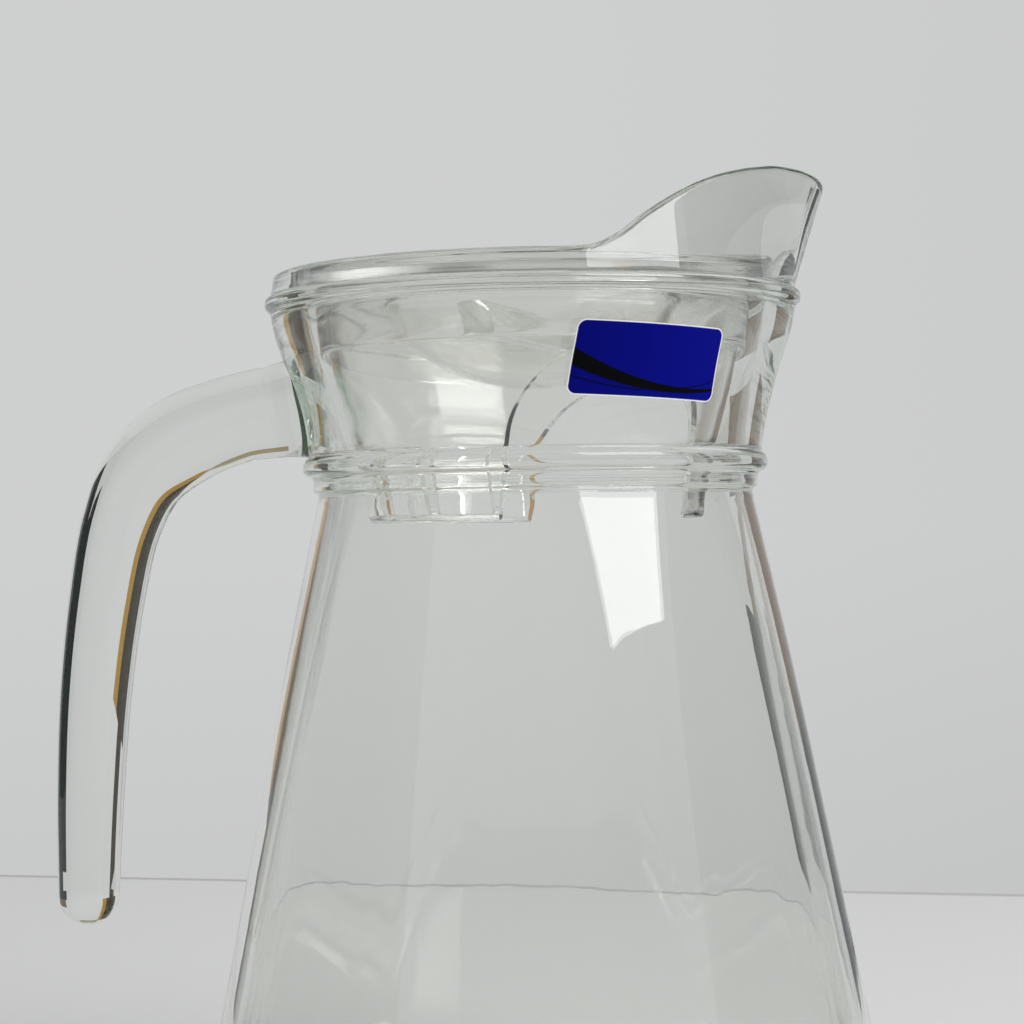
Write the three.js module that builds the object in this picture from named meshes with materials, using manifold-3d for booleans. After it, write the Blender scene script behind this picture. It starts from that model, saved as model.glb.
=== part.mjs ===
// Glass water jug, about 1.8 litres: soft octagonal body, flared neck with two beads, pulled-up
// pouring beak, open-ended glass handle, sticker, and a clear recessed lid with its strainer skirt.
// Millimetres, +Z up, origin at the centre of the flat base; the beak points along +X.
import * as THREE from "three";
import { mergeVertices } from "three/addons/utils/BufferGeometryUtils.js";
import Module from "manifold-3d";

const wasm = await Module();
wasm.setup();

// ---- driving dimensions -------------------------------------------------------------------
const GAP = 0.3; // clearance between neighbouring pieces
const AROUND = 48; // divisions round the jug and the lid

const NECK_Z = 148; // crease where the body meets the neck
const NECK_R = 46.3;
const BASE_A = 74.94; // distance across half the flats, flank extended down to the table
const BASE_ROUND = 12; // radius of the edge the jug stands on
const FLANK = (BASE_A - NECK_R) / NECK_Z; // taper of the straight flank
const FLOOR_Z = 7; // thickness of glass under the water

const COLLAR_Z = NECK_Z + 43; // foot of the upright collar
const COLLAR_OUT = 55.8;
const COLLAR_IN = 50.8;
const LEDGE_IN = 49.9; // the lid's flange rests on this step
const LEDGE_Z = 190.5;

// beak: two flat cheeks meeting in a rounded nose, growing out of the round collar
const BEAK_Z = NECK_Z + 65; // height at which the nose reaches its full reach
const CHEEK_TURN = THREE.MathUtils.degToRad(37.9); // direction each cheek faces
const BEAK_OUT = { cheek: 52.4, tip: 62.8 };
const BEAK_IN = { cheek: 50.9, tip: 61.3 };
// rim height above the crease at angles (degrees) measured from the beak
const RIM_AT = [-8, -4, 0, 4, 8, 13, 19, 28, 40, 50, 58, 65, 72, 78, 84, 180];
const RIM_Z = [
  66.3, 65.3, 64.8, 65.3, 66.3, 67, 67.1, 66.2, 64.2, 61.6, 58.4, 54.8, 50.4, 48.1, 47.7, 47.7,
];

const HANDLE_W = 17.5; // handle, across the grip
const HANDLE_END = 6.4; // rounding of its free end
const HANDLE_PATH = [
  [-44, 167.8], [-54.5, 166.7], [-64, 165.2], [-75, 161], [-83.5, 154],
  [-88.6, 143], [-92, 127], [-94.6, 107], [-96, 86], [-96.7, 64.4],
];
const HANDLE_T = [22, 20, 19, 19.6, 18.6, 17, 16, 15.2, 14.2, 12.8]; // thickness at each point

const LABEL = { w: 33.5, h: 16, r: 2, t: 0.25, turn: -64, z: NECK_Z + 25.4, tilt: -1.2 };

const FLANGE_R = 50.4;
const FLANGE_Z = LEDGE_Z + GAP;
const PLATE_TOP = 192.7;
const PLATE_UNDER = 190.8;
const BOWL_SPHERE = 36.6; // finger well
const BOWL_CENTRE = 212;
const SHELL = 1.8; // wall of the lid moulding
const PLUG = { in: 44.7, bottom: 179 };

const LID_REST = -5; // degrees the lid is turned at rest
const STRAINER_Z = 142.3; // lower edge of the strainer skirt
const ARCH = { at: 61, half: 20.4, spring: 160, top: 180 }; // two pouring arches
const SLOT = { count: 7, pitch: 23.5, w: 12.2, low: 143.6, high: 156.4 };
const GRIP = { w: 6.5, low: 184, top: 189, turn: 69 };

// ---- helpers ------------------------------------------------------------------------------
const rad = THREE.MathUtils.degToRad;
const lerp = THREE.MathUtils.lerp;

function weld(geometry) {
  const g = geometry.clone();
  g.deleteAttribute("normal");
  g.deleteAttribute("uv");
  return mergeVertices(g, 1e-4);
}

function volumeOf(g) {
  const p = g.attributes.position;
  const [a, b, c] = [new THREE.Vector3(), new THREE.Vector3(), new THREE.Vector3()];
  let six = 0;
  for (let i = 0; i < g.index.count; i += 3) {
    a.fromBufferAttribute(p, g.index.getX(i));
    b.fromBufferAttribute(p, g.index.getX(i + 1));
    c.fromBufferAttribute(p, g.index.getX(i + 2));
    six += a.dot(b.cross(c));
  }
  return six / 6;
}

// welded copy without collapsed triangles, faces pointing outward
function solid(geometry) {
  const g = weld(geometry);
  const flip = volumeOf(g) < 0;
  const kept = [];
  for (let i = 0; i < g.index.count; i += 3) {
    const [a, b, c] = [0, 1, 2].map((k) => g.index.getX(i + k));
    if (a !== b && b !== c && a !== c) kept.push(a, ...(flip ? [c, b] : [b, c]));
  }
  g.setIndex(kept);
  return g;
}

function toManifold(geometry) {
  const g = solid(geometry);
  return new wasm.Manifold(new wasm.Mesh({
    numProp: 3,
    vertProperties: new Float32Array(g.attributes.position.array),
    triVerts: new Uint32Array(g.index.array),
  }));
}

function fromManifold(shape) {
  const mesh = shape.getMesh();
  const g = new THREE.BufferGeometry();
  g.setAttribute("position", new THREE.BufferAttribute(new Float32Array(mesh.vertProperties), 3));
  g.setIndex(new THREE.BufferAttribute(new Uint32Array(mesh.triVerts), 1));
  return g;
}

// lathe about +Z of [radius, height] pairs; place(j, angle) may give each point its own [r, z]
function turned(profile, place = (j) => profile[j], divisions = AROUND) {
  const g = new THREE.LatheGeometry(profile.map(([r, z]) => new THREE.Vector2(r, z)), divisions);
  const p = g.attributes.position;
  for (let k = 0; k < p.count; k++) {
    const turn = ((Math.floor(k / profile.length) % divisions) / divisions) * 2 * Math.PI;
    const [r, z] = place(k % profile.length, turn);
    p.setXYZ(k, r * Math.cos(turn), r * Math.sin(turn), z);
  }
  return g;
}

// ---- the jug's outline --------------------------------------------------------------------
const fold = (turn) => Math.abs(Math.atan2(Math.sin(turn), Math.cos(turn)));

const rimCurve = new THREE.CubicInterpolant(RIM_AT, RIM_Z, 1);
const rimZ = (turn) => NECK_Z + rimCurve.evaluate(THREE.MathUtils.radToDeg(fold(turn)))[0];

// radius of the beak's plan outline
function beak(turn, { cheek, tip }) {
  const a = fold(turn);
  const apex = cheek / Math.cos(CHEEK_TURN);
  const nose = (apex - tip) / (1 / Math.cos(CHEEK_TURN) - 1);
  const centre = tip - nose;
  const touch = Math.atan2(nose * Math.sin(CHEEK_TURN), centre + nose * Math.cos(CHEEK_TURN));
  if (a < touch) return centre * Math.cos(a) + Math.sqrt(nose ** 2 - (centre * Math.sin(a)) ** 2);
  return a < CHEEK_TURN ? cheek / Math.cos(CHEEK_TURN - a) : cheek;
}

// polar radius of an octagon, flats facing +X, corners rounded to `soft` times the half-width
function octagon(turn, across, soft) {
  const sector = Math.PI / 4;
  const off = Math.abs(((turn + 20.5 * sector) % sector) - sector / 2);
  const r = across * soft;
  const flatEnd = Math.atan2((across - r) * Math.tan(sector / 2), across);
  if (off <= flatEnd) return across / Math.cos(off);
  const c = (across - r) / Math.cos(sector / 2);
  const b = sector / 2 - off;
  return c * Math.cos(b) + Math.sqrt(Math.max(r ** 2 - (c * Math.sin(b)) ** 2, 0));
}

// how round the body is at a height: a circle at the crease, soft corners lower down
const softness = (z, least, reach) =>
  z >= NECK_Z ? 1 : least + (1 - least) * Math.exp(-(((NECK_Z - z) / reach) ** 1.15));

// ---- glass body ---------------------------------------------------------------------------
const flank = (z) => BASE_A - FLANK * z;
const edge = [-72, -52, -34, -16, 0, 10.9].map((d) => [
  flank(BASE_ROUND) - BASE_ROUND * 0.993 + BASE_ROUND * Math.cos(rad(d)) - 0.1,
  BASE_ROUND + BASE_ROUND * Math.sin(rad(d)),
]);
const outside = [
  [0, 0], [flank(BASE_ROUND) - BASE_ROUND - 0.4, 0], ...edge,
  ...[34, 58, 80, 98, 112, 122, 130, 137, 143, 146.6].map((z) => [flank(z), z]),
  [46.2, 148.2], [46.9, 149.1], [47.3, 150], [47.3, 151.8], [48.3, 152.5], [49.3, 153.4],
  [49.4, 154.6], [49.1, 155.6], [48.4, 156.5], [48.7, 159], [49.7, 164], [51.6, 172],
  [54.1, 179], [55.4, 183.5], [56, 187.3], [56.9, 188.5], [57, 189.7], [56.2, 190.5],
];
const inside = [
  [COLLAR_IN, LEDGE_Z], [LEDGE_IN, LEDGE_Z], [LEDGE_IN, 182.5], [49.5, 179], [48.5, 172.5],
  [46.6, 164], [45.2, 157], [44.2, 151], [43.7, 147],
  ...[140, 131, 118, 98, 72, 44].map((z) => [flank(z) - 2.3, z]),
  [flank(24) - 2.6, 24], [66.6, 15.5], [62.5, 10], [56, 7.6], [46, FLOOR_Z], [0, FLOOR_Z + 0.8],
];
// collar and beak: fraction of the way up to the rim, then how far the lip is rounded off
const lip = [
  ["out", 0, 0], ["out", 0.25, 0], ["out", 0.5, 0], ["out", 0.75, 0], ["out", 1, 1.2],
  ["out", 1, 0.35], ["mid", 1, 0], ["in", 1, 0.35], ["in", 1, 1.2], ["in", 0.75, 0],
  ["in", 0.5, 0], ["in", 0.25, 0],
];
const lipWall = (turn, z, side) => {
  const grow = (z - COLLAR_Z) / (BEAK_Z - COLLAR_Z);
  const out = lerp(COLLAR_OUT, beak(turn, BEAK_OUT), grow);
  const inn = lerp(COLLAR_IN, beak(turn, BEAK_IN), grow);
  return { out, in: inn, mid: (out + inn) / 2 }[side];
};
const profile = [...outside, ...lip.map(([, f]) => [COLLAR_OUT, COLLAR_Z + 4 * f]), ...inside];

function jugPoint(j, turn) {
  if (j < outside.length) {
    const [r, z] = outside[j];
    return [octagon(turn, r, softness(z, 0.22, 30)), z];
  }
  if (j >= outside.length + lip.length) {
    const [r, z] = inside[j - outside.length - lip.length];
    return [octagon(turn, r, softness(z, 0.42, 34)), z];
  }
  const [side, up, down] = lip[j - outside.length];
  const top = rimZ(turn);
  const z = lerp(COLLAR_Z, top, up) - down;
  const wall = lipWall(turn, z, side);
  const inset = side === "mid" ? 0 : (1.2 - (up === 1 ? down : 1.2)) * 0.7;
  return [side === "out" ? wall - inset : wall + inset, z];
}
const jug = solid(turned(profile, jugPoint));

// ---- handle -------------------------------------------------------------------------------
const spine = new THREE.CatmullRomCurve3(
  HANDLE_PATH.map(([x, z]) => new THREE.Vector3(x, 0, z)), false, "centripetal",
);
const stations = new THREE.CubicInterpolant(HANDLE_T.map((_, i) => i), HANDLE_T, 1);

function handleBlank() {
  const g = new THREE.CapsuleGeometry(1, 1, 5, 20, 30);
  const p = g.attributes.position;
  for (let k = 0; k < p.count; k++) {
    const [x, y, z] = [p.getX(k), p.getY(k), p.getZ(k)];
    const s = THREE.MathUtils.clamp(0.5 - y, 0, 1);
    const over = 0.5 - y - s;
    const at = spine.getPoint(s);
    const along = spine.getTangent(s);
    const thick = stations.evaluate(s * (HANDLE_T.length - 1))[0];
    const wide = HANDLE_W + 5 * Math.exp(-s * 9) - 3.5 * s ** 2;
    const size = Math.hypot(x, z);
    const round = (Math.abs(x) ** 2.5 + Math.abs(z) ** 2.5) ** (1 / 2.5) || 1;
    const square = size / round;
    const across = (x * square * thick) / 2;
    p.setXYZ(
      k,
      at.x + along.z * across + along.x * over * HANDLE_END,
      (z * square * wide) / 2,
      at.z - along.x * across + along.z * over * HANDLE_END,
    );
  }
  return g;
}
const neckOnly = outside.filter(([, z]) => z >= 137).map(([r, z]) => [r + GAP, z]);
const neckBlock = turned([[0, 137], ...neckOnly, [0, 190.5]]);
const handle = fromManifold(toManifold(handleBlank()).subtract(toManifold(neckBlock)));

// ---- sticker ------------------------------------------------------------------------------
const neckWall = outside.filter(([, z]) => z >= 156.5 && z <= 187.3);
const neckSkin = new THREE.CubicInterpolant(neckWall.map((q) => q[1]), neckWall.map((q) => q[0]), 1);

function sticker({ w, h, r, t, turn, z, tilt }) {
  const g = new THREE.BoxGeometry(w, h, t, 16, 12, 1);
  const p = g.attributes.position;
  for (let k = 0; k < p.count; k++) {
    const row = p.getY(k) / (h / 2);
    const v = Math.sign(row) * (1 - (1 - Math.abs(row)) ** 1.6) * (h / 2);
    const corner = Math.max(Math.abs(v) - (h / 2 - r), 0);
    const u = (p.getX(k) / w) * (w - 2 * r + 2 * Math.sqrt(Math.max(r ** 2 - corner ** 2, 0.09)));
    const a = u * Math.cos(rad(tilt)) - v * Math.sin(rad(tilt));
    const b = u * Math.sin(rad(tilt)) + v * Math.cos(rad(tilt));
    const height = z + b * 0.94;
    const reach = neckSkin.evaluate(height)[0] + GAP + t / 2 + p.getZ(k);
    const where = rad(turn) + a / neckSkin.evaluate(height)[0];
    p.setXYZ(k, reach * Math.cos(where), reach * Math.sin(where), height);
  }
  return solid(g);
}
const label = sticker(LABEL);

// ---- lid: flange, plate, finger well and plug ring ------------------------------------------
const bowl = (radius, angles) =>
  angles.map((d) => [radius * Math.sin(rad(d)), BOWL_CENTRE - radius * Math.cos(rad(d))]);
const cap = solid(turned([
  ...bowl(BOWL_SPHERE + SHELL, [0, 14, 28, 41, 51.5]),
  [32, PLATE_UNDER], [PLUG.in, PLATE_UNDER], [PLUG.in, PLUG.bottom + 0.3],
  [PLUG.in + 0.4, PLUG.bottom], [PLUG.in + 0.9, PLUG.bottom + 0.3], [46.4, FLANGE_Z],
  [FLANGE_R - 0.3, FLANGE_Z], [FLANGE_R, FLANGE_Z + 0.4], [FLANGE_R, 194],
  [FLANGE_R - 0.5, 194.5], [48.8, 194.5], [48.3, 194], [48, PLATE_TOP], [34.4, PLATE_TOP],
  [31.9, PLATE_TOP - 0.7], ...bowl(BOWL_SPHERE, [56, 48, 38, 26, 13, 0]),
]));

// ---- lid: strainer skirt --------------------------------------------------------------------
const skirtOut = [
  [44.2, 189.8], [44.2, 179.6], [43.5, 178.2], [40.9, 173.4], [39.6, 170], [37.6, 159],
  [36.5, 148.4], [35.9, 144.2], [35.2, STRAINER_Z + 0.3], [34.6, STRAINER_Z],
];
const skirtIn = [
  [34, STRAINER_Z], [34.2, 144.4], [34.8, 149], [35.9, 159], [37.9, 169.6], [39.2, 172.8],
  [41.8, 178], [42.5, 180.2], [42.5, 189.8],
];
const skirt = toManifold(turned([...skirtOut, ...skirtIn, skirtOut[0]]));

// prism pushed outward from the axis at an angle, its section drawn as (sideways, height)
function radialPrism(section, turn, near, far) {
  const g = new THREE.ExtrudeGeometry(section, { depth: far - near, bevelEnabled: false, curveSegments: 14 });
  const m = new THREE.Matrix4().makeBasis(
    new THREE.Vector3(0, 1, 0), new THREE.Vector3(0, 0, 1), new THREE.Vector3(1, 0, 0),
  );
  g.applyMatrix4(m).translate(near, 0, 0).rotateZ(rad(turn));
  return toManifold(g);
}

const arch = new THREE.Shape();
arch.moveTo(-ARCH.half, STRAINER_Z - 4).lineTo(ARCH.half, STRAINER_Z - 4);
arch.lineTo(ARCH.half, ARCH.spring);
arch.absellipse(0, ARCH.spring, ARCH.half, ARCH.top - ARCH.spring, 0, Math.PI, false, 0);
arch.closePath();

const slot = new THREE.Shape();
slot.moveTo(-SLOT.w / 2, SLOT.low).lineTo(SLOT.w / 2, SLOT.low);
slot.lineTo(SLOT.w / 2, SLOT.high).lineTo(-SLOT.w / 2, SLOT.high).closePath();

let strained = skirt;
for (const side of [-1, 1]) {
  strained = strained.subtract(radialPrism(arch, side * ARCH.at, 12, 60));
}
for (let k = 0; k < SLOT.count; k++) {
  const turn = 180 + (k - (SLOT.count - 1) / 2) * SLOT.pitch;
  strained = strained.subtract(radialPrism(slot, turn, 25, 60));
}
const strainer = fromManifold(strained).rotateZ(rad(LID_REST));

// ---- lid: grip bar across the finger well ---------------------------------------------------
const barEnd = new THREE.Shape();
barEnd.moveTo(-GRIP.w / 2, GRIP.low).lineTo(GRIP.w / 2, GRIP.low);
barEnd.lineTo(GRIP.w / 2, GRIP.top - 1.6);
barEnd.absarc(GRIP.w / 2 - 1.6, GRIP.top - 1.6, 1.6, 0, Math.PI / 2, false);
barEnd.absarc(1.6 - GRIP.w / 2, GRIP.top - 1.6, 1.6, Math.PI / 2, Math.PI, false);
barEnd.closePath();
const well = new THREE.SphereGeometry(BOWL_SPHERE - 0.35, 48, 32).translate(0, 0, BOWL_CENTRE);
const grip = fromManifold(radialPrism(barEnd, 0, -32, 32).intersect(toManifold(well)))
  .rotateZ(rad(GRIP.turn + LID_REST));

// ---- assembly -------------------------------------------------------------------------------
const glass = { color: 0xdfeae6, roughness: 0.03, metalness: 0, transparent: true, opacity: 0.45 };
const clear = { color: 0xe9eceb, roughness: 0.12, metalness: 0, transparent: true, opacity: 0.5 };
const paint = { color: 0x0b0b8c, roughness: 0.35, metalness: 0 };

const part = new THREE.Group();
for (const [name, geometry, look] of [
  ["jug_glass", jug, glass],
  ["handle", handle, glass],
  ["label", label, paint],
  ["lid_cap", cap, clear],
  ["lid_strainer", strainer, clear],
  ["lid_grip", grip, clear],
]) {
  const mesh = new THREE.Mesh(geometry, new THREE.MeshStandardMaterial(look));
  mesh.name = name;
  part.add(mesh);
}
export default part;
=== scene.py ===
import bpy
import bmesh
import math
import numpy as np
from mathutils import Matrix, Vector


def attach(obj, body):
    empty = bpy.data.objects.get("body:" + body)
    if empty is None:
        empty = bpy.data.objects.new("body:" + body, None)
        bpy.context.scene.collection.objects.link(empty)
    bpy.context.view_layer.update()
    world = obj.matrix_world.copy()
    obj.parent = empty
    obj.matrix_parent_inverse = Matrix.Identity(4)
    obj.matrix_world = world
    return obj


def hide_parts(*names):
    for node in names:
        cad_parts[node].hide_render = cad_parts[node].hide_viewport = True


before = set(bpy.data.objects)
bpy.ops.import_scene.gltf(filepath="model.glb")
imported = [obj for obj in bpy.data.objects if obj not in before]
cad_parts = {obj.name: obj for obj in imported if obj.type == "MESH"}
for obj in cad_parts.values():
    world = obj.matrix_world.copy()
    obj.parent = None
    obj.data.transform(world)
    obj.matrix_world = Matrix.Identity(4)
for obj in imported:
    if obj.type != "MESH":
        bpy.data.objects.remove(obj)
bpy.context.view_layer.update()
scene = bpy.context.scene
MM = 0.001

# ------------------------------------------------------------------ dimensions, millimetres
NECK_Z = 148.0
BASE_A, NECK_R = 74.94, 46.3
TAPER = (BASE_A - NECK_R) / NECK_Z
COLLAR_Z, BEAK_Z = 191.0, 213.0
COLLAR_OUT, COLLAR_IN = 55.8, 50.8
LEDGE_Z, LEDGE_IN = 190.5, 49.9
CHEEK = math.radians(37.9)
BEAK_OUT, BEAK_IN = (52.4, 62.8), (50.9, 61.3)
RIM_AT = np.array([-19, -13, -8, -4, 0, 4, 8, 13, 19, 28, 40, 50, 58, 65, 72, 78, 84, 110, 180.0])
RIM_Z = np.array([67.1, 67, 66.3, 65.3, 64.8, 65.3, 66.3, 67, 67.1, 66.2, 64.2, 61.6, 58.4, 54.8,
                  50.4, 48.1, 47.7, 47.7, 47.7])
WALL = 2.2
LIP = 1.5
LID_REST = math.radians(-5)


# ------------------------------------------------------------------ small maths helpers
def smooth_curve(xs, ys):
    """A monotone cubic through the points, as a function of x."""
    xs, ys = np.asarray(xs, float), np.asarray(ys, float)
    h = np.diff(xs)
    d = np.diff(ys) / h
    m = np.zeros_like(xs)
    m[0], m[-1] = d[0], d[-1]
    for i in range(1, len(xs) - 1):
        if d[i - 1] * d[i] > 0:
            w1, w2 = 2 * h[i] + h[i - 1], h[i] + 2 * h[i - 1]
            m[i] = (w1 + w2) / (w1 / d[i - 1] + w2 / d[i])

    def at(x):
        x = np.clip(np.asarray(x, float), xs[0], xs[-1])
        i = np.clip(np.searchsorted(xs, x, side="right") - 1, 0, len(xs) - 2)
        t = (x - xs[i]) / h[i]
        return (
            (1 + 2 * t) * (1 - t) ** 2 * ys[i]
            + t * (1 - t) ** 2 * h[i] * m[i]
            + t * t * (3 - 2 * t) * ys[i + 1]
            + t * t * (t - 1) * h[i] * m[i + 1]
        )

    return at


def soften(points, times=2, closed=False):
    """Corner cutting of an open or closed polyline."""
    p = np.asarray(points, float)
    for _ in range(times):
        q = np.vstack([p, p[:1]]) if closed else p
        a, b = q[:-1], q[1:]
        cut = np.empty((2 * len(a), 2))
        cut[0::2], cut[1::2] = 0.75 * a + 0.25 * b, 0.25 * a + 0.75 * b
        p = cut if closed else np.vstack([p[:1], cut[1:-1], p[-1:]])
    return p


def thin(points, least=0.35, most=3.0):
    """Drop points that hardly bend the line, unless the gap would grow too wide."""
    keep = [points[0]]
    for i in range(1, len(points) - 1):
        a, b = points[i] - keep[-1], points[i + 1] - points[i]
        bend = abs(math.degrees(math.atan2(a[0] * b[1] - a[1] * b[0], a @ b)))
        if bend > least or np.linalg.norm(points[i + 1] - keep[-1]) > most:
            keep.append(points[i])
    return np.array(keep + [points[-1]])


def fold(turn):
    return np.abs(np.arctan2(np.sin(turn), np.cos(turn)))


rim_curve = smooth_curve(RIM_AT, RIM_Z)


def rim_z(turn):
    return NECK_Z + rim_curve(np.degrees(fold(turn)))


def beak(turn, cheek, tip):
    a = fold(turn)
    apex = cheek / math.cos(CHEEK)
    nose = (apex - tip) / (1 / math.cos(CHEEK) - 1)
    centre = tip - nose
    touch = math.atan2(nose * math.sin(CHEEK), centre + nose * math.cos(CHEEK))
    round_nose = centre * np.cos(a) + np.sqrt(np.maximum(nose**2 - (centre * np.sin(a)) ** 2, 0))
    flat = np.where(a < CHEEK, cheek / np.cos(CHEEK - a), cheek)
    return np.where(a < touch, round_nose, flat)


def octagon(turn, across, soft):
    sector = math.pi / 4
    off = np.abs(np.mod(turn + 20.5 * sector, sector) - sector / 2)
    r = across * soft
    flat_end = np.arctan2((across - r) * math.tan(sector / 2), across)
    c = (across - r) / math.cos(sector / 2)
    b = sector / 2 - off
    corner = c * np.cos(b) + np.sqrt(np.maximum(r**2 - (c * np.sin(b)) ** 2, 0))
    return np.where(off <= flat_end, across / np.cos(off), corner)


def flank(z):
    """Half the width across the flats at a height."""
    return BASE_A - TAPER * z


def softness(z, thinner=0.0):
    """How round the octagon's corners are; the inside follows the outside, less the wall."""
    drop = np.maximum(NECK_Z - z, 0) / 24
    soft = 0.5 + 0.5 * np.exp(-(drop**1.15))
    across = flank(z)
    return np.where(z >= NECK_Z, 1.0, (soft * across - 0.6 * thinner) / (across - thinner))


# ------------------------------------------------------------------ mesh helpers
def new_object(name, mesh):
    o = bpy.data.objects.new(name, mesh)
    scene.collection.objects.link(o)
    return o


def shell(name, rings, start_pole=False, end_pole=False, loop=False):
    """Rings of points (n, around, 3) in mm joined by quads; poles close the ends with a fan."""
    n, around, _ = rings.shape
    verts = (rings.reshape(-1, 3) * MM).tolist()
    faces = []
    last = n if loop else n - 1
    for i in range(last):
        a, b = i * around, ((i + 1) % n) * around
        for k in range(around):
            l = (k + 1) % around
            faces.append((a + k, a + l, b + l, b + k))
    for pole, i in ((start_pole, 0), (end_pole, n - 1)):
        if pole is False:
            continue
        verts.append([c * MM for c in pole])
        tip = len(verts) - 1
        for k in range(around):
            l = (k + 1) % around
            a = i * around
            faces.append((a + l, a + k, tip) if i == 0 else (a + k, a + l, tip))
    mesh = bpy.data.meshes.new(name)
    mesh.from_pydata(verts, [], faces)
    o = new_object(name, mesh)
    outward(o)
    return o


def outward(o):
    bm = bmesh.new()
    bm.from_mesh(o.data)
    bmesh.ops.remove_doubles(bm, verts=bm.verts, dist=1e-7)
    bmesh.ops.recalc_face_normals(bm, faces=bm.faces)
    if bm.calc_volume(signed=True) < 0:
        bmesh.ops.reverse_faces(bm, faces=bm.faces)
    bm.to_mesh(o.data)
    bm.free()


def turned(name, profile, around=192, loop=False):
    """A plain lathe about Z; a profile that isn't a loop starts and ends on the axis."""
    p = np.asarray(profile, float)
    turn = np.arange(around) / around * 2 * math.pi
    body = p if loop else p[1:-1]
    rings = np.stack(
        [np.stack([r * np.cos(turn), r * np.sin(turn), np.full(around, z)], 1) for r, z in body]
    )
    if loop:
        return shell(name, rings, loop=True)
    return shell(name, rings, (0, 0, p[0][1]), (0, 0, p[-1][1]))


def boolean(o, other, operation):
    m = o.modifiers.new("cut", "BOOLEAN")
    m.object, m.operation, m.solver = other, operation, "MANIFOLD"
    dg = bpy.context.evaluated_depsgraph_get()
    mesh = bpy.data.meshes.new_from_object(o.evaluated_get(dg))
    o.modifiers.clear()
    old = o.data
    o.data = mesh
    bpy.data.meshes.remove(old)
    bpy.data.objects.remove(other)


def smooth(o, angle):
    """Smooth shading, with edges sharper than the angle in degrees kept hard."""
    for p in o.data.polygons:
        p.use_smooth = True
    bm = bmesh.new()
    bm.from_mesh(o.data)
    limit = math.radians(angle)
    for e in bm.edges:
        if len(e.link_faces) == 2 and e.calc_face_angle(0) > limit:
            e.smooth = False
    bm.to_mesh(o.data)
    bm.free()


# ------------------------------------------------------------------ glass body
AROUND = 288
turn = np.arange(AROUND) / AROUND * 2 * math.pi

edge_x = flank(12) - 12.02
# the underside is recessed, so that only a ring at the edge stands on the table
outside = [
    (0, 0.9), (30, 0.8), (edge_x - 14, 0.5), (edge_x - 5, 0.12), (edge_x - 2, 0.02), (edge_x + 1, 0.05),
]
outside += [
    (edge_x + 12 * math.cos(math.radians(d)), 12 + 12 * math.sin(math.radians(d)))
    for d in (-78, -64, -50, -36, -22, -8, 4)
]
outside += [
    (flank(z), z)
    for z in (17, 24, 34, 46, 58, 70, 82, 94, 104, 112, 120, 127, 133, 138, 142, 145, 147)
]
outside += [
    (46.3, 147.9), (46.35, 148.7), (47.3, 149.2), (47.35, 150.2), (47.3, 151.6), (47.9, 152.3), (48.9, 152.6),
    (49.5, 153.6), (49.5, 155.2), (48.9, 156.1), (48.3, 156.6), (48.4, 158), (49.0, 161.4), (50.0, 166),
    (51.6, 172),
    (53.2, 176.6), (54.6, 180.6), (55.5, 184.4), (55.9, 187.0), (56.4, 187.7), (57.05, 188.2), (57.1, 189.8),
    (56.6, 190.4), (55.8, 190.6),
]
outside = thin(soften(outside, 3))
inside = [
    (COLLAR_IN, 191.4), (COLLAR_IN, 190.6), (LEDGE_IN + 0.2, LEDGE_Z), (LEDGE_IN, 190.0), (49.6, 186.5),
    (49.0, 183), (48.2, 179.4), (46.9, 173), (45.7, 165.5), (44.8, 158.6), (44.2, 153), (43.85, 149),
]
inside += [(flank(z) - WALL, z) for z in (146, 142, 137, 130, 120, 108, 96, 84, 72, 58, 44, 33)]
inside += [
    (flank(25) - 2.6, 25), (67.4, 18.5), (64.6, 12.8), (59.5, 9.2), (52, 7.6), (38, 7.4), (20, 7.9), (0, 8.3),
]
inside = thin(soften(inside, 3))

rings = []
for r, z in outside[1:]:
    rr = octagon(turn, r, softness(z)) if z < NECK_Z else np.full(AROUND, r)
    rings.append((rr, np.full(AROUND, z)))


def wall(z, side):
    """Radius of the collar and beak wall at a height."""
    grow = (z - COLLAR_Z) / (BEAK_Z - COLLAR_Z)
    a, (cheek, tip) = (COLLAR_OUT, BEAK_OUT) if side else (COLLAR_IN, BEAK_IN)
    return a + (beak(turn, cheek, tip) - a) * grow


top = rim_z(turn)
for f in np.linspace(0.04, 1, 14):
    z = COLLAR_Z + (top - LIP - COLLAR_Z) * f
    rings.append((wall(z, True), z))
zc = top - LIP
half = (wall(zc, True) - wall(zc, False)) / 2
mid = (wall(top, True) + wall(top, False)) / 2
for d in (15, 30, 45, 60, 75, 90, 105, 120, 135, 150, 165):
    c, s = math.cos(math.radians(d)), math.sin(math.radians(d))
    lean = mid - (wall(zc, True) + wall(zc, False)) / 2
    rings.append(((wall(zc, True) + wall(zc, False)) / 2 + lean * s + half * c, zc + LIP * s))
for f in np.linspace(1, 0.04, 14):
    z = COLLAR_Z + (top - LIP - COLLAR_Z) * f
    rings.append((wall(z, False), z))
for r, z in inside[1:-1]:
    rr = octagon(turn, r, softness(z, WALL)) if z < NECK_Z else np.full(AROUND, r)
    rings.append((rr, np.full(AROUND, z)))
rings = np.stack([np.stack([r * np.cos(turn), r * np.sin(turn), z], 1) for r, z in rings])
glass = shell("glass_jug", rings, (0, 0, outside[0][1]), (0, 0, inside[-1][1]))

# ------------------------------------------------------------------ glass handle, fused to the neck
PATH = np.array([(-46.5, 167.9), (-54.5, 166.9), (-64, 165.2), (-75, 161), (-83.5, 154), (-88.6, 143),
                 (-92, 127), (-94.6, 107), (-96, 86), (-96.7, 64.4)])
THICK = [23, 20, 19, 19.6, 18.6, 17, 16, 15.2, 14.2, 12.8]
HANDLE_TIP = 6.4


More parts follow.
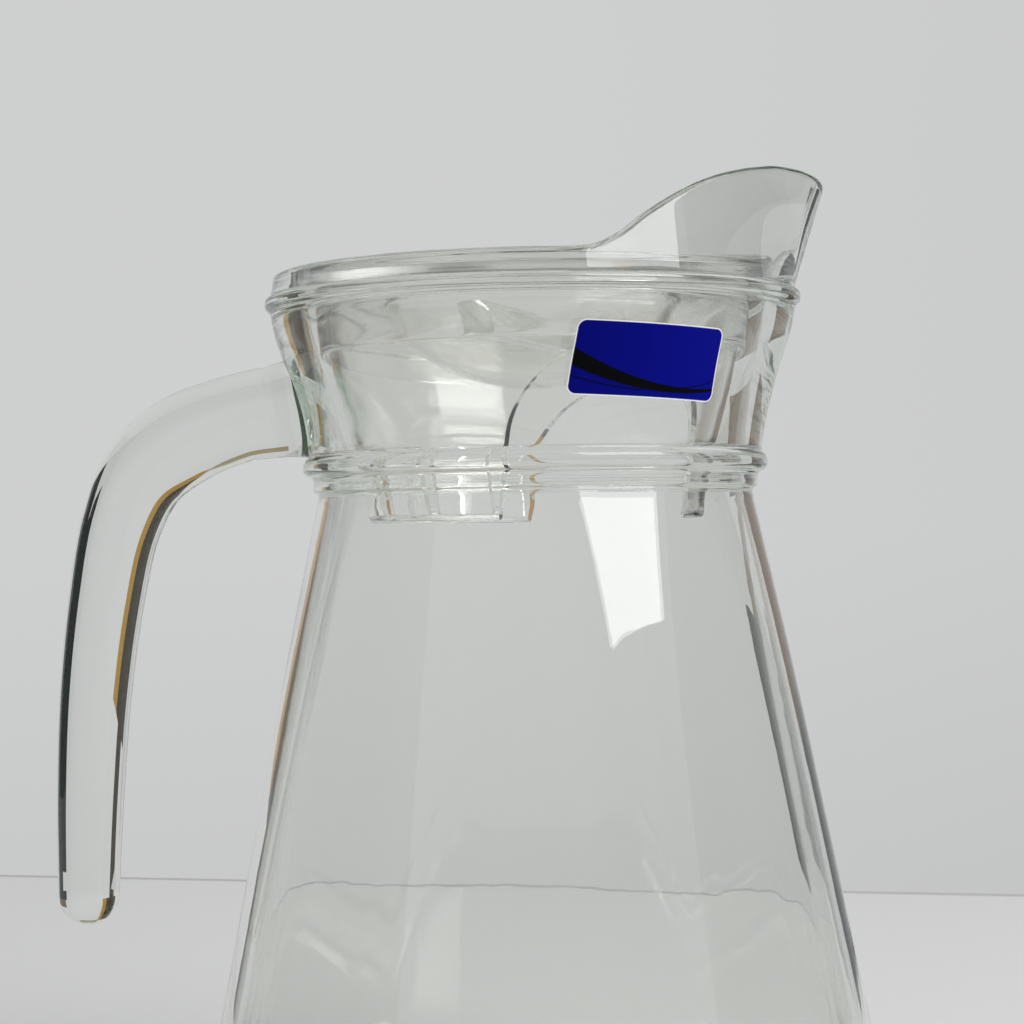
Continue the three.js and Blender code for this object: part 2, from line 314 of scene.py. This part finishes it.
def spline_points(points, count):
    """Evenly spaced points on a centripetal Catmull-Rom spline, with each one's knot number."""
    p = np.vstack([2 * points[0] - points[1], points, 2 * points[-1] - points[-2]])
    out, knot = [], []
    for i in range(1, len(p) - 2):
        p0, p1, p2, p3 = p[i - 1 : i + 3]
        t = [0.0]
        for a, b in ((p0, p1), (p1, p2), (p2, p3)):
            t.append(t[-1] + np.linalg.norm(b - a) ** 0.5)
        for u in np.linspace(0, 1, 40, endpoint=False):
            x = t[1] + u * (t[2] - t[1])
            a1 = ((t[1] - x) * p0 + (x - t[0]) * p1) / (t[1] - t[0])
            a2 = ((t[2] - x) * p1 + (x - t[1]) * p2) / (t[2] - t[1])
            a3 = ((t[3] - x) * p2 + (x - t[2]) * p3) / (t[3] - t[2])
            b1 = ((t[2] - x) * a1 + (x - t[0]) * a2) / (t[2] - t[0])
            b2 = ((t[3] - x) * a2 + (x - t[1]) * a3) / (t[3] - t[1])
            out.append(((t[2] - x) * b1 + (x - t[1]) * b2) / (t[2] - t[1]))
            knot.append(i - 1 + u)
    out.append(points[-1])
    knot.append(len(points) - 1)
    out, knot = np.array(out), np.array(knot)
    length = np.concatenate([[0], np.cumsum(np.linalg.norm(np.diff(out, axis=0), axis=1))])
    at = np.linspace(0, length[-1], count)
    return np.stack([np.interp(at, length, out[:, k]) for k in (0, 1)], 1), np.interp(at, length, knot)


def build_handle():
    n, around = 150, 72
    pts, knot = spline_points(PATH, n)
    tangent = np.gradient(pts, axis=0)
    tangent /= np.linalg.norm(tangent, axis=1)[:, None]
    thick = smooth_curve(range(len(THICK)), THICK)(knot)
    s = np.linspace(0, 1, n)
    wide = 17.5 + 6 * np.exp(-s * 14) - 3.5 * s**2
    a = np.arange(around) / around * 2 * math.pi
    ca, sa = np.cos(a), np.sin(a)
    k = 1 / (np.abs(ca) ** 2.5 + np.abs(sa) ** 2.5) ** (1 / 2.5)
    ca, sa = ca * k, sa * k
    rings = []
    for i in range(n):
        nx, nz = tangent[i][1], -tangent[i][0]
        deep = ca * thick[i] / 2
        rings.append(np.stack([pts[i][0] + nx * deep, sa * wide[i] / 2, pts[i][1] + nz * deep], 1))
    tx, tz = tangent[-1]
    nx, nz = tz, -tx
    for d in (12, 24, 36, 48, 60, 70, 79):
        c, sn = math.cos(math.radians(d)), math.sin(math.radians(d))
        cx, cz = pts[-1][0] + tx * HANDLE_TIP * sn, pts[-1][1] + tz * HANDLE_TIP * sn
        deep = ca * thick[-1] / 2 * c
        rings.append(np.stack([cx + nx * deep, sa * wide[-1] / 2 * c, cz + nz * deep], 1))
    end = (pts[-1][0] + tx * HANDLE_TIP, 0, pts[-1][1] + tz * HANDLE_TIP)
    return shell("handle_blank", np.stack(rings), (pts[0][0] + 0.5, 0, pts[0][1]), end)


boolean(glass, build_handle(), "UNION")
smooth(glass, 38)

# ------------------------------------------------------------------ lid
WELL, WELL_C, SKIN = 36.6, 212.0, 1.8


def bowl(radius, angles):
    return [(radius * math.sin(math.radians(d)), WELL_C - radius * math.cos(math.radians(d))) for d in angles]


cap_profile = (
    bowl(WELL + SKIN, np.linspace(0, 51, 22))
    + [tuple(p) for p in soften(
        [(31.2, 189.6), (32.6, 190.8), (36, 190.8), (43.2, 190.8), (44.4, 190.6), (44.7, 189.6),
         (44.7, 184), (44.7, 179.9), (44.9, 179.5), (45.6, 179.5), (45.9, 179.9), (46.2, 185),
         (46.4, 190.4), (46.9, 190.8), (49.9, 190.8),
         (50.4, 191.1), (50.4, 192), (50.4, 194.1), (50.1, 194.5), (48.9, 194.5), (48.5, 194.2), (48.2, 193.0),
         (47.8, 192.7), (46, 192.7), (38, 192.7), (34.4, 192.7), (32.2, 192.2), (30.6, 191.0)], 2)]
    + bowl(WELL, np.linspace(55, 0, 24))
)
cap = turned("lid_cap_moulding", cap_profile)
smooth(cap, 50)

skirt_profile = soften(
    [(44.2, 189.8), (44.2, 186), (44.2, 180.8), (43.6, 178.4), (42.6, 174), (41.3, 169), (39.9, 164),
     (38.4, 158), (37.2, 152), (36.3, 147), (35.7, 144.2), (35.0, 142.7), (34.4, 142.3), (33.9, 142.6),
     (34.1, 144.4), (34.7, 147.4), (35.5, 152), (36.7, 158), (38.2, 164), (39.6, 169), (40.9, 174),
     (41.9, 178.4), (42.5, 181.4), (42.5, 186), (42.5, 189.8)],
    2, closed=True)
skirt = turned("lid_skirt", skirt_profile, loop=True)


def prism(name, outline, heading, near, far):
    """Outline of (sideways, height) pushed out from the axis along a heading, mm."""
    c, s = math.cos(heading), math.sin(heading)
    ring = []
    for d in (near, far):
        ring.append([(d * c - u * s, d * s + u * c, h) for u, h in outline])
    n = len(outline)
    verts = [[v * MM for v in p] for p in ring[0] + ring[1]]
    faces = [tuple(range(n))[::-1], tuple(range(n, 2 * n))]
    faces += [(i, (i + 1) % n, n + (i + 1) % n, n + i) for i in range(n)]
    mesh = bpy.data.meshes.new(name)
    mesh.from_pydata(verts, [], faces)
    o = new_object(name, mesh)
    outward(o)
    return o


arch = [(-20.4, 138.0), (20.4, 138.0)] + [
    (20.4 * math.cos(math.radians(d)), 160 + 20 * math.sin(math.radians(d))) for d in range(0, 181, 5)
]
for side in (-1, 1):
    boolean(skirt, prism("arch", arch, LID_REST + side * math.radians(61), 12, 60), "DIFFERENCE")
# drain slots round the closed side: half width, lower and upper end, corner round
w, lo, hi, r = 6.1, 143.8, 156.4, 0.9
outline = [
    (w, lo), (w, hi - r), (w - 0.3 * r, hi - 0.3 * r), (w - r, hi),
    (-w + r, hi), (-w + 0.3 * r, hi - 0.3 * r), (-w, hi - r), (-w, lo),
]
for k in range(7):
    heading = LID_REST + math.radians(180 + (k - 3) * 23.5)
    boolean(skirt, prism("slot", outline, heading, 25, 60), "DIFFERENCE")
smooth(skirt, 40)

# grip bar: a bridge across the well, trimmed just clear of the bowl
bar = [(-3.25, 184.4), (-2.85, 184.0), (2.85, 184.0), (3.25, 184.4)] + [
    (2.25 + math.cos(math.radians(d)), 188.0 + math.sin(math.radians(d))) for d in range(0, 91, 10)
] + [(-2.25 + math.cos(math.radians(d)), 188.0 + math.sin(math.radians(d))) for d in range(90, 181, 10)]
grip = prism("lid_grip_bar", bar, LID_REST + math.radians(69), -32, 32)
BALL = 36.3
ball = turned("ball", [(0, WELL_C - BALL)] + bowl(BALL, range(3, 178, 3)) + [(0, WELL_C + BALL)])
boolean(grip, ball, "INTERSECT")
smooth(grip, 30)

# ------------------------------------------------------------------ sticker
neck_pts = outside[(outside[:, 1] > 156.6) & (outside[:, 1] < 187.4)]
neck_skin = smooth_curve(neck_pts[:, 1], neck_pts[:, 0])


STICKER_W, STICKER_H, STICKER_R = 33.5, 15.5, 1.9


def build_sticker():
    w, h, r, t = STICKER_W, STICKER_H, STICKER_R, 0.12
    tilt, z0, turn0 = math.radians(-2.6), 173.4, math.radians(-64)
    nu, nv = 97, 49
    v = -np.cos(np.linspace(0, math.pi, nv)) * h / 2
    corner = np.maximum(np.abs(v) - (h / 2 - r), 0)
    half = w / 2 - r + np.sqrt(np.maximum(r * r - corner**2, 0))
    verts, uvs = [], []
    for out in (t + 0.03, 0.03):
        for j in range(nv):
            for i in range(nu):
                u = (2 * i / (nu - 1) - 1) * half[j]
                a = u * math.cos(tilt) - v[j] * math.sin(tilt)
                b = u * math.sin(tilt) + v[j] * math.cos(tilt)
                z = z0 + b * 0.94
                rr = float(neck_skin(z))
                where = turn0 + a / rr
                verts.append(((rr + out) * math.cos(where) * MM, (rr + out) * math.sin(where) * MM, z * MM))
                uvs.append((u / w + 0.5, v[j] / h + 0.5))
    n = nu * nv
    faces = []
    for j in range(nv - 1):
        for i in range(nu - 1):
            a = j * nu + i
            faces.append((a, a + 1, a + nu + 1, a + nu))
            faces.append((n + a, n + a + nu, n + a + nu + 1, n + a + 1))
    rim = [i for i in range(nu)] + [j * nu + nu - 1 for j in range(1, nv)]
    rim += [(nv - 1) * nu + i for i in range(nu - 2, -1, -1)] + [j * nu for j in range(nv - 2, 0, -1)]
    for a, b in zip(rim, rim[1:] + rim[:1]):
        faces.append((b, a, n + a, n + b))
    mesh = bpy.data.meshes.new("sticker")
    mesh.from_pydata(verts, [], faces)
    layer = mesh.uv_layers.new(name="UVMap")
    for loop in mesh.loops:
        layer.data[loop.index].uv = uvs[loop.vertex_index]
    o = new_object("sticker", mesh)
    bm = bmesh.new()
    bm.from_mesh(mesh)
    bmesh.ops.recalc_face_normals(bm, faces=bm.faces)
    bm.to_mesh(mesh)
    bm.free()
    smooth(o, 40)
    return o


sticker = build_sticker()


# ------------------------------------------------------------------ materials
def material(name):
    m = bpy.data.materials.new(name)
    m.use_nodes = True
    nt = m.node_tree
    nt.nodes.clear()
    out = nt.nodes.new("ShaderNodeOutputMaterial")
    p = nt.nodes.new("ShaderNodeBsdfPrincipled")
    nt.links.new(p.outputs["BSDF"], out.inputs["Surface"])
    return m, nt, p, out


def noise_bump(nt, p, layers, distance):
    """Fine relief from one or more noise layers of (scale, weight, detail), in object space."""
    pos = nt.nodes.new("ShaderNodeTexCoord")
    total = None
    for scale, weight, detail in layers:
        n = nt.nodes.new("ShaderNodeTexNoise")
        n.inputs["Scale"].default_value = scale
        n.inputs["Detail"].default_value = detail
        nt.links.new(pos.outputs["Object"], n.inputs["Vector"])
        s = nt.nodes.new("ShaderNodeMath")
        s.operation = "MULTIPLY_ADD"
        s.inputs[1].default_value = weight
        nt.links.new(n.outputs["Fac"], s.inputs[0])
        if total is None:
            s.inputs[2].default_value = 0.0
        else:
            nt.links.new(total, s.inputs[2])
        total = s.outputs[0]
    b = nt.nodes.new("ShaderNodeBump")
    b.inputs["Strength"].default_value = 1.0
    b.inputs["Distance"].default_value = distance
    nt.links.new(total, b.inputs["Height"])
    nt.links.new(b.outputs["Normal"], p.inputs["Normal"])
    return total


def clear_solid(name, colour, ior, roughness, absorb, density, layers, distance):
    m, nt, p, out = material(name)
    p.inputs["Base Color"].default_value = (*colour, 1)
    p.inputs["Roughness"].default_value = roughness
    p.inputs["IOR"].default_value = ior
    p.inputs["Transmission Weight"].default_value = 1.0
    v = nt.nodes.new("ShaderNodeVolumeAbsorption")
    v.inputs["Color"].default_value = (*absorb, 1)
    v.inputs["Density"].default_value = density
    nt.links.new(v.outputs["Volume"], out.inputs["Volume"])
    noise_bump(nt, p, layers, distance)
    return m


glass_mat = clear_solid("pressed_glass", (0.955, 0.96, 0.944), 1.52, 0.0, (0.40, 0.62, 0.44), 6.0,
                        [(22, 1.0, 1.0), (70, 0.25, 2.0)], 0.00010)
plastic_mat = clear_solid("clear_plastic", (0.972, 0.972, 0.962), 1.49, 0.05, (0.6, 0.7, 0.62), 1.5,
                          [(40, 1.0, 1.0), (160, 0.25, 2.0)], 0.00008)

m, nt, p, out = material("printed_film")
uv = nt.nodes.new("ShaderNodeUVMap")
sep = nt.nodes.new("ShaderNodeSeparateXYZ")
nt.links.new(uv.outputs["UV"], sep.inputs["Vector"])


def calc(op, *args, clamp=False):
    n = nt.nodes.new("ShaderNodeMath")
    n.operation, n.use_clamp = op, clamp
    for i, a in enumerate(args):
        if isinstance(a, (int, float)):
            n.inputs[i].default_value = a
        else:
            nt.links.new(a, n.inputs[i])
    return n.outputs[0]


def blend_colour(fac, a, b):
    n = nt.nodes.new("ShaderNodeMix")
    n.data_type = "RGBA"
    nt.links.new(fac, n.inputs["Factor"])
    for sock, c in ((n.inputs["A"], a), (n.inputs["B"], b)):
        if isinstance(c, tuple):
            sock.default_value = (*c, 1)
        else:
            nt.links.new(c, sock)
    return n.outputs["Result"]


u, v = sep.outputs["X"], sep.outputs["Y"]


def curve(low, bend, middle):
    """low + bend * (u - middle)^2"""
    off = calc("SUBTRACT", u, middle)
    return calc("MULTIPLY_ADD", calc("MULTIPLY", off, off), bend, low)


def between(x, low, high, sharp):
    return calc("MULTIPLY", calc("MULTIPLY_ADD", calc("SUBTRACT", x, low), sharp, 0.5, clamp=True),
                calc("MULTIPLY_ADD", calc("SUBTRACT", high, x), sharp, 0.5, clamp=True))


# a plain swoosh: one crescent and two hairlines beside it
crescent = between(v, curve(0.088, 0.664, 0.68), curve(0.163, 0.739, 0.80), 70.0)
hair_left = calc("MULTIPLY", between(v, curve(0.096, 0.62, 0.5), curve(0.114, 0.62, 0.5), 90.0),
                 calc("LESS_THAN", u, 0.47))
hair_right = calc("MULTIPLY", between(v, curve(0.156, 2.0, 0.72), curve(0.174, 2.0, 0.72), 90.0),
                  calc("GREATER_THAN", u, 0.74))
ink = calc("MAXIMUM", crescent, calc("MAXIMUM", hair_left, hair_right))
# painted shade: the blue field is darkened towards the sticker's left end and lighter towards its right end
painted_shade_ramp = nt.nodes.new("ShaderNodeMapRange")
painted_shade_ramp.inputs["To Min"].default_value, painted_shade_ramp.inputs["To Max"].default_value = 0.72, 1.08
nt.links.new(u, painted_shade_ramp.inputs["Value"])
blue_with_painted_shade = blend_colour(painted_shade_ramp.outputs["Result"], (0, 0, 0), (0.0006, 0.0022, 0.205))
printed = blend_colour(ink, blue_with_painted_shade, (0.0012, 0.0012, 0.0015))
# pale cut edge all round
qx = calc("MULTIPLY_ADD", calc("ABSOLUTE", calc("SUBTRACT", u, 0.5)), STICKER_W, STICKER_R - STICKER_W / 2)
qy = calc("MULTIPLY_ADD", calc("ABSOLUTE", calc("SUBTRACT", v, 0.5)), STICKER_H, STICKER_R - STICKER_H / 2)
px, py = calc("MAXIMUM", qx, 0.0), calc("MAXIMUM", qy, 0.0)
reach = calc("SQRT", calc("ADD", calc("MULTIPLY", px, px), calc("MULTIPLY", py, py)))
reach = calc("ADD", reach, calc("MINIMUM", calc("MAXIMUM", qx, qy), 0.0))
edge = calc("MULTIPLY_ADD", calc("SUBTRACT", reach, STICKER_R - 0.26), 12.0, 0.5, clamp=True)
nt.links.new(blend_colour(edge, printed, (0.78, 0.78, 0.76)), p.inputs["Base Color"])
p.inputs["Roughness"].default_value = 0.5
p.inputs["Specular IOR Level"].default_value = 0.04
noise_bump(nt, p, [(900, 1.0, 2.0)], 0.00002)
film_mat = m

for o, mat in (
    (glass, glass_mat), (cap, plastic_mat), (skirt, plastic_mat), (grip, plastic_mat), (sticker, film_mat),
):
    o.data.materials.clear()
    o.data.materials.append(mat)

# ------------------------------------------------------------------ the pieces take the CAD nodes' places
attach(glass, "jug"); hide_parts("jug_glass", "handle")
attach(sticker, "jug"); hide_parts("label")
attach(cap, "lid"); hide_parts("lid_cap")
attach(skirt, "insert"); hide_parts("lid_strainer")
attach(grip, "insert"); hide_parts("lid_grip")


# ------------------------------------------------------------------ studio
def stage_plane(name, corners, mat):
    mesh = bpy.data.meshes.new(name)
    mesh.from_pydata(corners, [], [tuple(range(len(corners)))])
    o = new_object(name, mesh)
    o.data.materials.append(mat)
    return o


def plain(name, colour, roughness=0.6):
    m, nt, p, out = material(name)
    p.inputs["Base Color"].default_value = (*colour, 1)
    p.inputs["Roughness"].default_value = roughness
    return m


def glow(name, colour):
    m = bpy.data.materials.new(name)
    m.use_nodes = True
    nt = m.node_tree
    nt.nodes.clear()
    out = nt.nodes.new("ShaderNodeOutputMaterial")
    e = nt.nodes.new("ShaderNodeEmission")
    e.inputs["Color"].default_value = (*colour, 1)
    nt.links.new(e.outputs["Emission"], out.inputs["Surface"])
    return m


# a pale sheet just under the base, and the thin grey line along its back edge
SHEET_Z, LINE_TOP = -0.0002, 0.0008
BACK_LEFT, BACK_RIGHT = (-1.1, 0.826), (1.1, 0.199)
stage_plane("table_top",
            [(-1.1, -1.3, SHEET_Z), (1.1, -1.3, SHEET_Z), (*BACK_RIGHT, SHEET_Z), (*BACK_LEFT, SHEET_Z)],
            plain("table_white", (0.78, 0.78, 0.775), 0.7))
stage_plane("table_back_line",
            [(*BACK_LEFT, 0), (*BACK_RIGHT, 0), (*BACK_RIGHT, LINE_TOP), (*BACK_LEFT, LINE_TOP)],
            plain("table_line", (0.56, 0.56, 0.56), 0.8))

world = bpy.data.worlds.new("studio")
scene.world = world
world.use_nodes = True
nt = world.node_tree
bg = nt.nodes["Background"]
# an even pale wall, a touch darker low down and to the right
where = nt.nodes.new("ShaderNodeTexCoord")
sep = nt.nodes.new("ShaderNodeSeparateXYZ")
nt.links.new(where.outputs["Generated"], sep.inputs["Vector"])
low = calc("MAXIMUM", calc("MULTIPLY", calc("MINIMUM", sep.outputs["Z"], 0.0), 0.6), -0.08)
side = calc("MINIMUM", calc("MULTIPLY", calc("MAXIMUM", sep.outputs["X"], 0.0), 0.2), 0.05)
level = calc("ADD", 1.0, calc("SUBTRACT", low, side))
bg.inputs["Color"].default_value = (0.622, 0.625, 0.630, 1)
nt.links.new(level, bg.inputs["Strength"])


def unseen(o):
    """Kept from the camera, from diffuse light and from shadows; only the glass shows it."""
    o.visible_camera = o.visible_diffuse = o.visible_shadow = False


CARD_RADIUS = 1.35


def card(name, heading0, heading1, low, high, mat, glossy=True):
    """A curved card round the jug, headings in degrees to the right of +Y; never seen directly."""
    n = 12
    verts, faces = [], []
    for i in range(n + 1):
        a = math.radians(heading0 + (heading1 - heading0) * i / n)
        x, y = CARD_RADIUS * math.sin(a), CARD_RADIUS * math.cos(a)
        verts += [(x, y, low), (x, y, high)]
    for i in range(n):
        faces.append((2 * i, 2 * i + 1, 2 * i + 3, 2 * i + 2))
    mesh = bpy.data.meshes.new(name)
    mesh.from_pydata(verts, [], faces)
    o = new_object(name, mesh)
    o.data.materials.append(mat)
    unseen(o)
    o.visible_glossy = glossy
    return o


black = glow("flag_black", (0.005, 0.011, 0.012))
dark = glow("flag_dark", (0.026, 0.017, 0.009))
card("flag_right_low", 22, 38, -0.45, -0.06, black)
card("flag_right", 14.5, 38, -0.06, 0.13, black, False)
card("flag_right_high", 17, 38, 0.13, 0.42, glow("flag_brown", (0.12, 0.075, 0.035)), False)
card("flag_gold", -36, -29.5, 0.10, 1.2, glow("flag_gold", (0.36, 0.20, 0.025)), False)
card("flag_left", -58, -36, 0.10, 1.2, dark, False)
card("flag_left_low", -52, -41, -0.10, 0.10, dark, False)
card("flag_above", -32, 2, 1.15, 1.6, glow("flag_amber", (0.30, 0.25, 0.14)), False)
# cards beside the jug act on reflections only, so they do not show through the glass
for name, a, b in (("side_left", -125, -66), ("side_right", 62, 108)):
    card(name, a, b, -0.4, 1.2, dark).visible_transmission = False

unseen(stage_plane("ceiling", [(-1.3, -0.2, 1.7), (1.3, -0.2, 1.7), (1.3, 1.5, 1.7), (-1.3, 1.5, 1.7)],
                   glow("ceiling_grey", (0.62, 0.62, 0.61))))


def softbox(name, place, size, radiance, target, roll):
    light = bpy.data.lights.new(name, "AREA")
    light.shape, light.size, light.size_y = "RECTANGLE", size[0], size[1]
    light.energy = radiance * math.pi * size[0] * size[1]
    o = bpy.data.objects.new(name, light)
    scene.collection.objects.link(o)
    o.location = place
    aim = (Vector(target) - Vector(place)).to_track_quat("-Z", "Y").to_matrix()
    o.rotation_euler = (aim @ Matrix.Rotation(math.radians(roll), 3, "Z")).to_euler()
    o.visible_camera = False


softbox("window_key", (0.758, -0.739, 0.875), (0.95, 0.67), 4.6, (0, 0, 0.12), -3)

# ------------------------------------------------------------------ camera
cam_data = bpy.data.cameras.new("camera")
cam = bpy.data.objects.new("camera", cam_data)
scene.collection.objects.link(cam)
cam_data.sensor_width = 36.0
cam_data.lens = 2760 / 1024 * 36
cam_data.clip_start, cam_data.clip_end = 0.01, 20
pitch, roll = math.atan(28 / 2760), math.radians(0.95)
forward = Vector((0, math.cos(pitch), math.sin(pitch)))
right = Vector((1, 0, 0))
up = right.cross(forward)
# the picture is turned so that the jug leans slightly left
r2 = right * math.cos(roll) - up * math.sin(roll)
u2 = right * math.sin(roll) + up * math.cos(roll)
cam.matrix_world = Matrix((
    (r2.x, u2.x, -forward.x, -0.0051),
    (r2.y, u2.y, -forward.y, -0.590),
    (r2.z, u2.z, -forward.z, 0.1385),
    (0, 0, 0, 1),
))
scene.camera = cam

scene.view_settings.view_transform = "Standard"
scene.cycles.caustics_refractive = scene.cycles.caustics_reflective = True
scene.cycles.max_bounces = 28
scene.cycles.transmission_bounces = 28
scene.cycles.glossy_bounces = 28
scene.cycles.transparent_max_bounces = 16
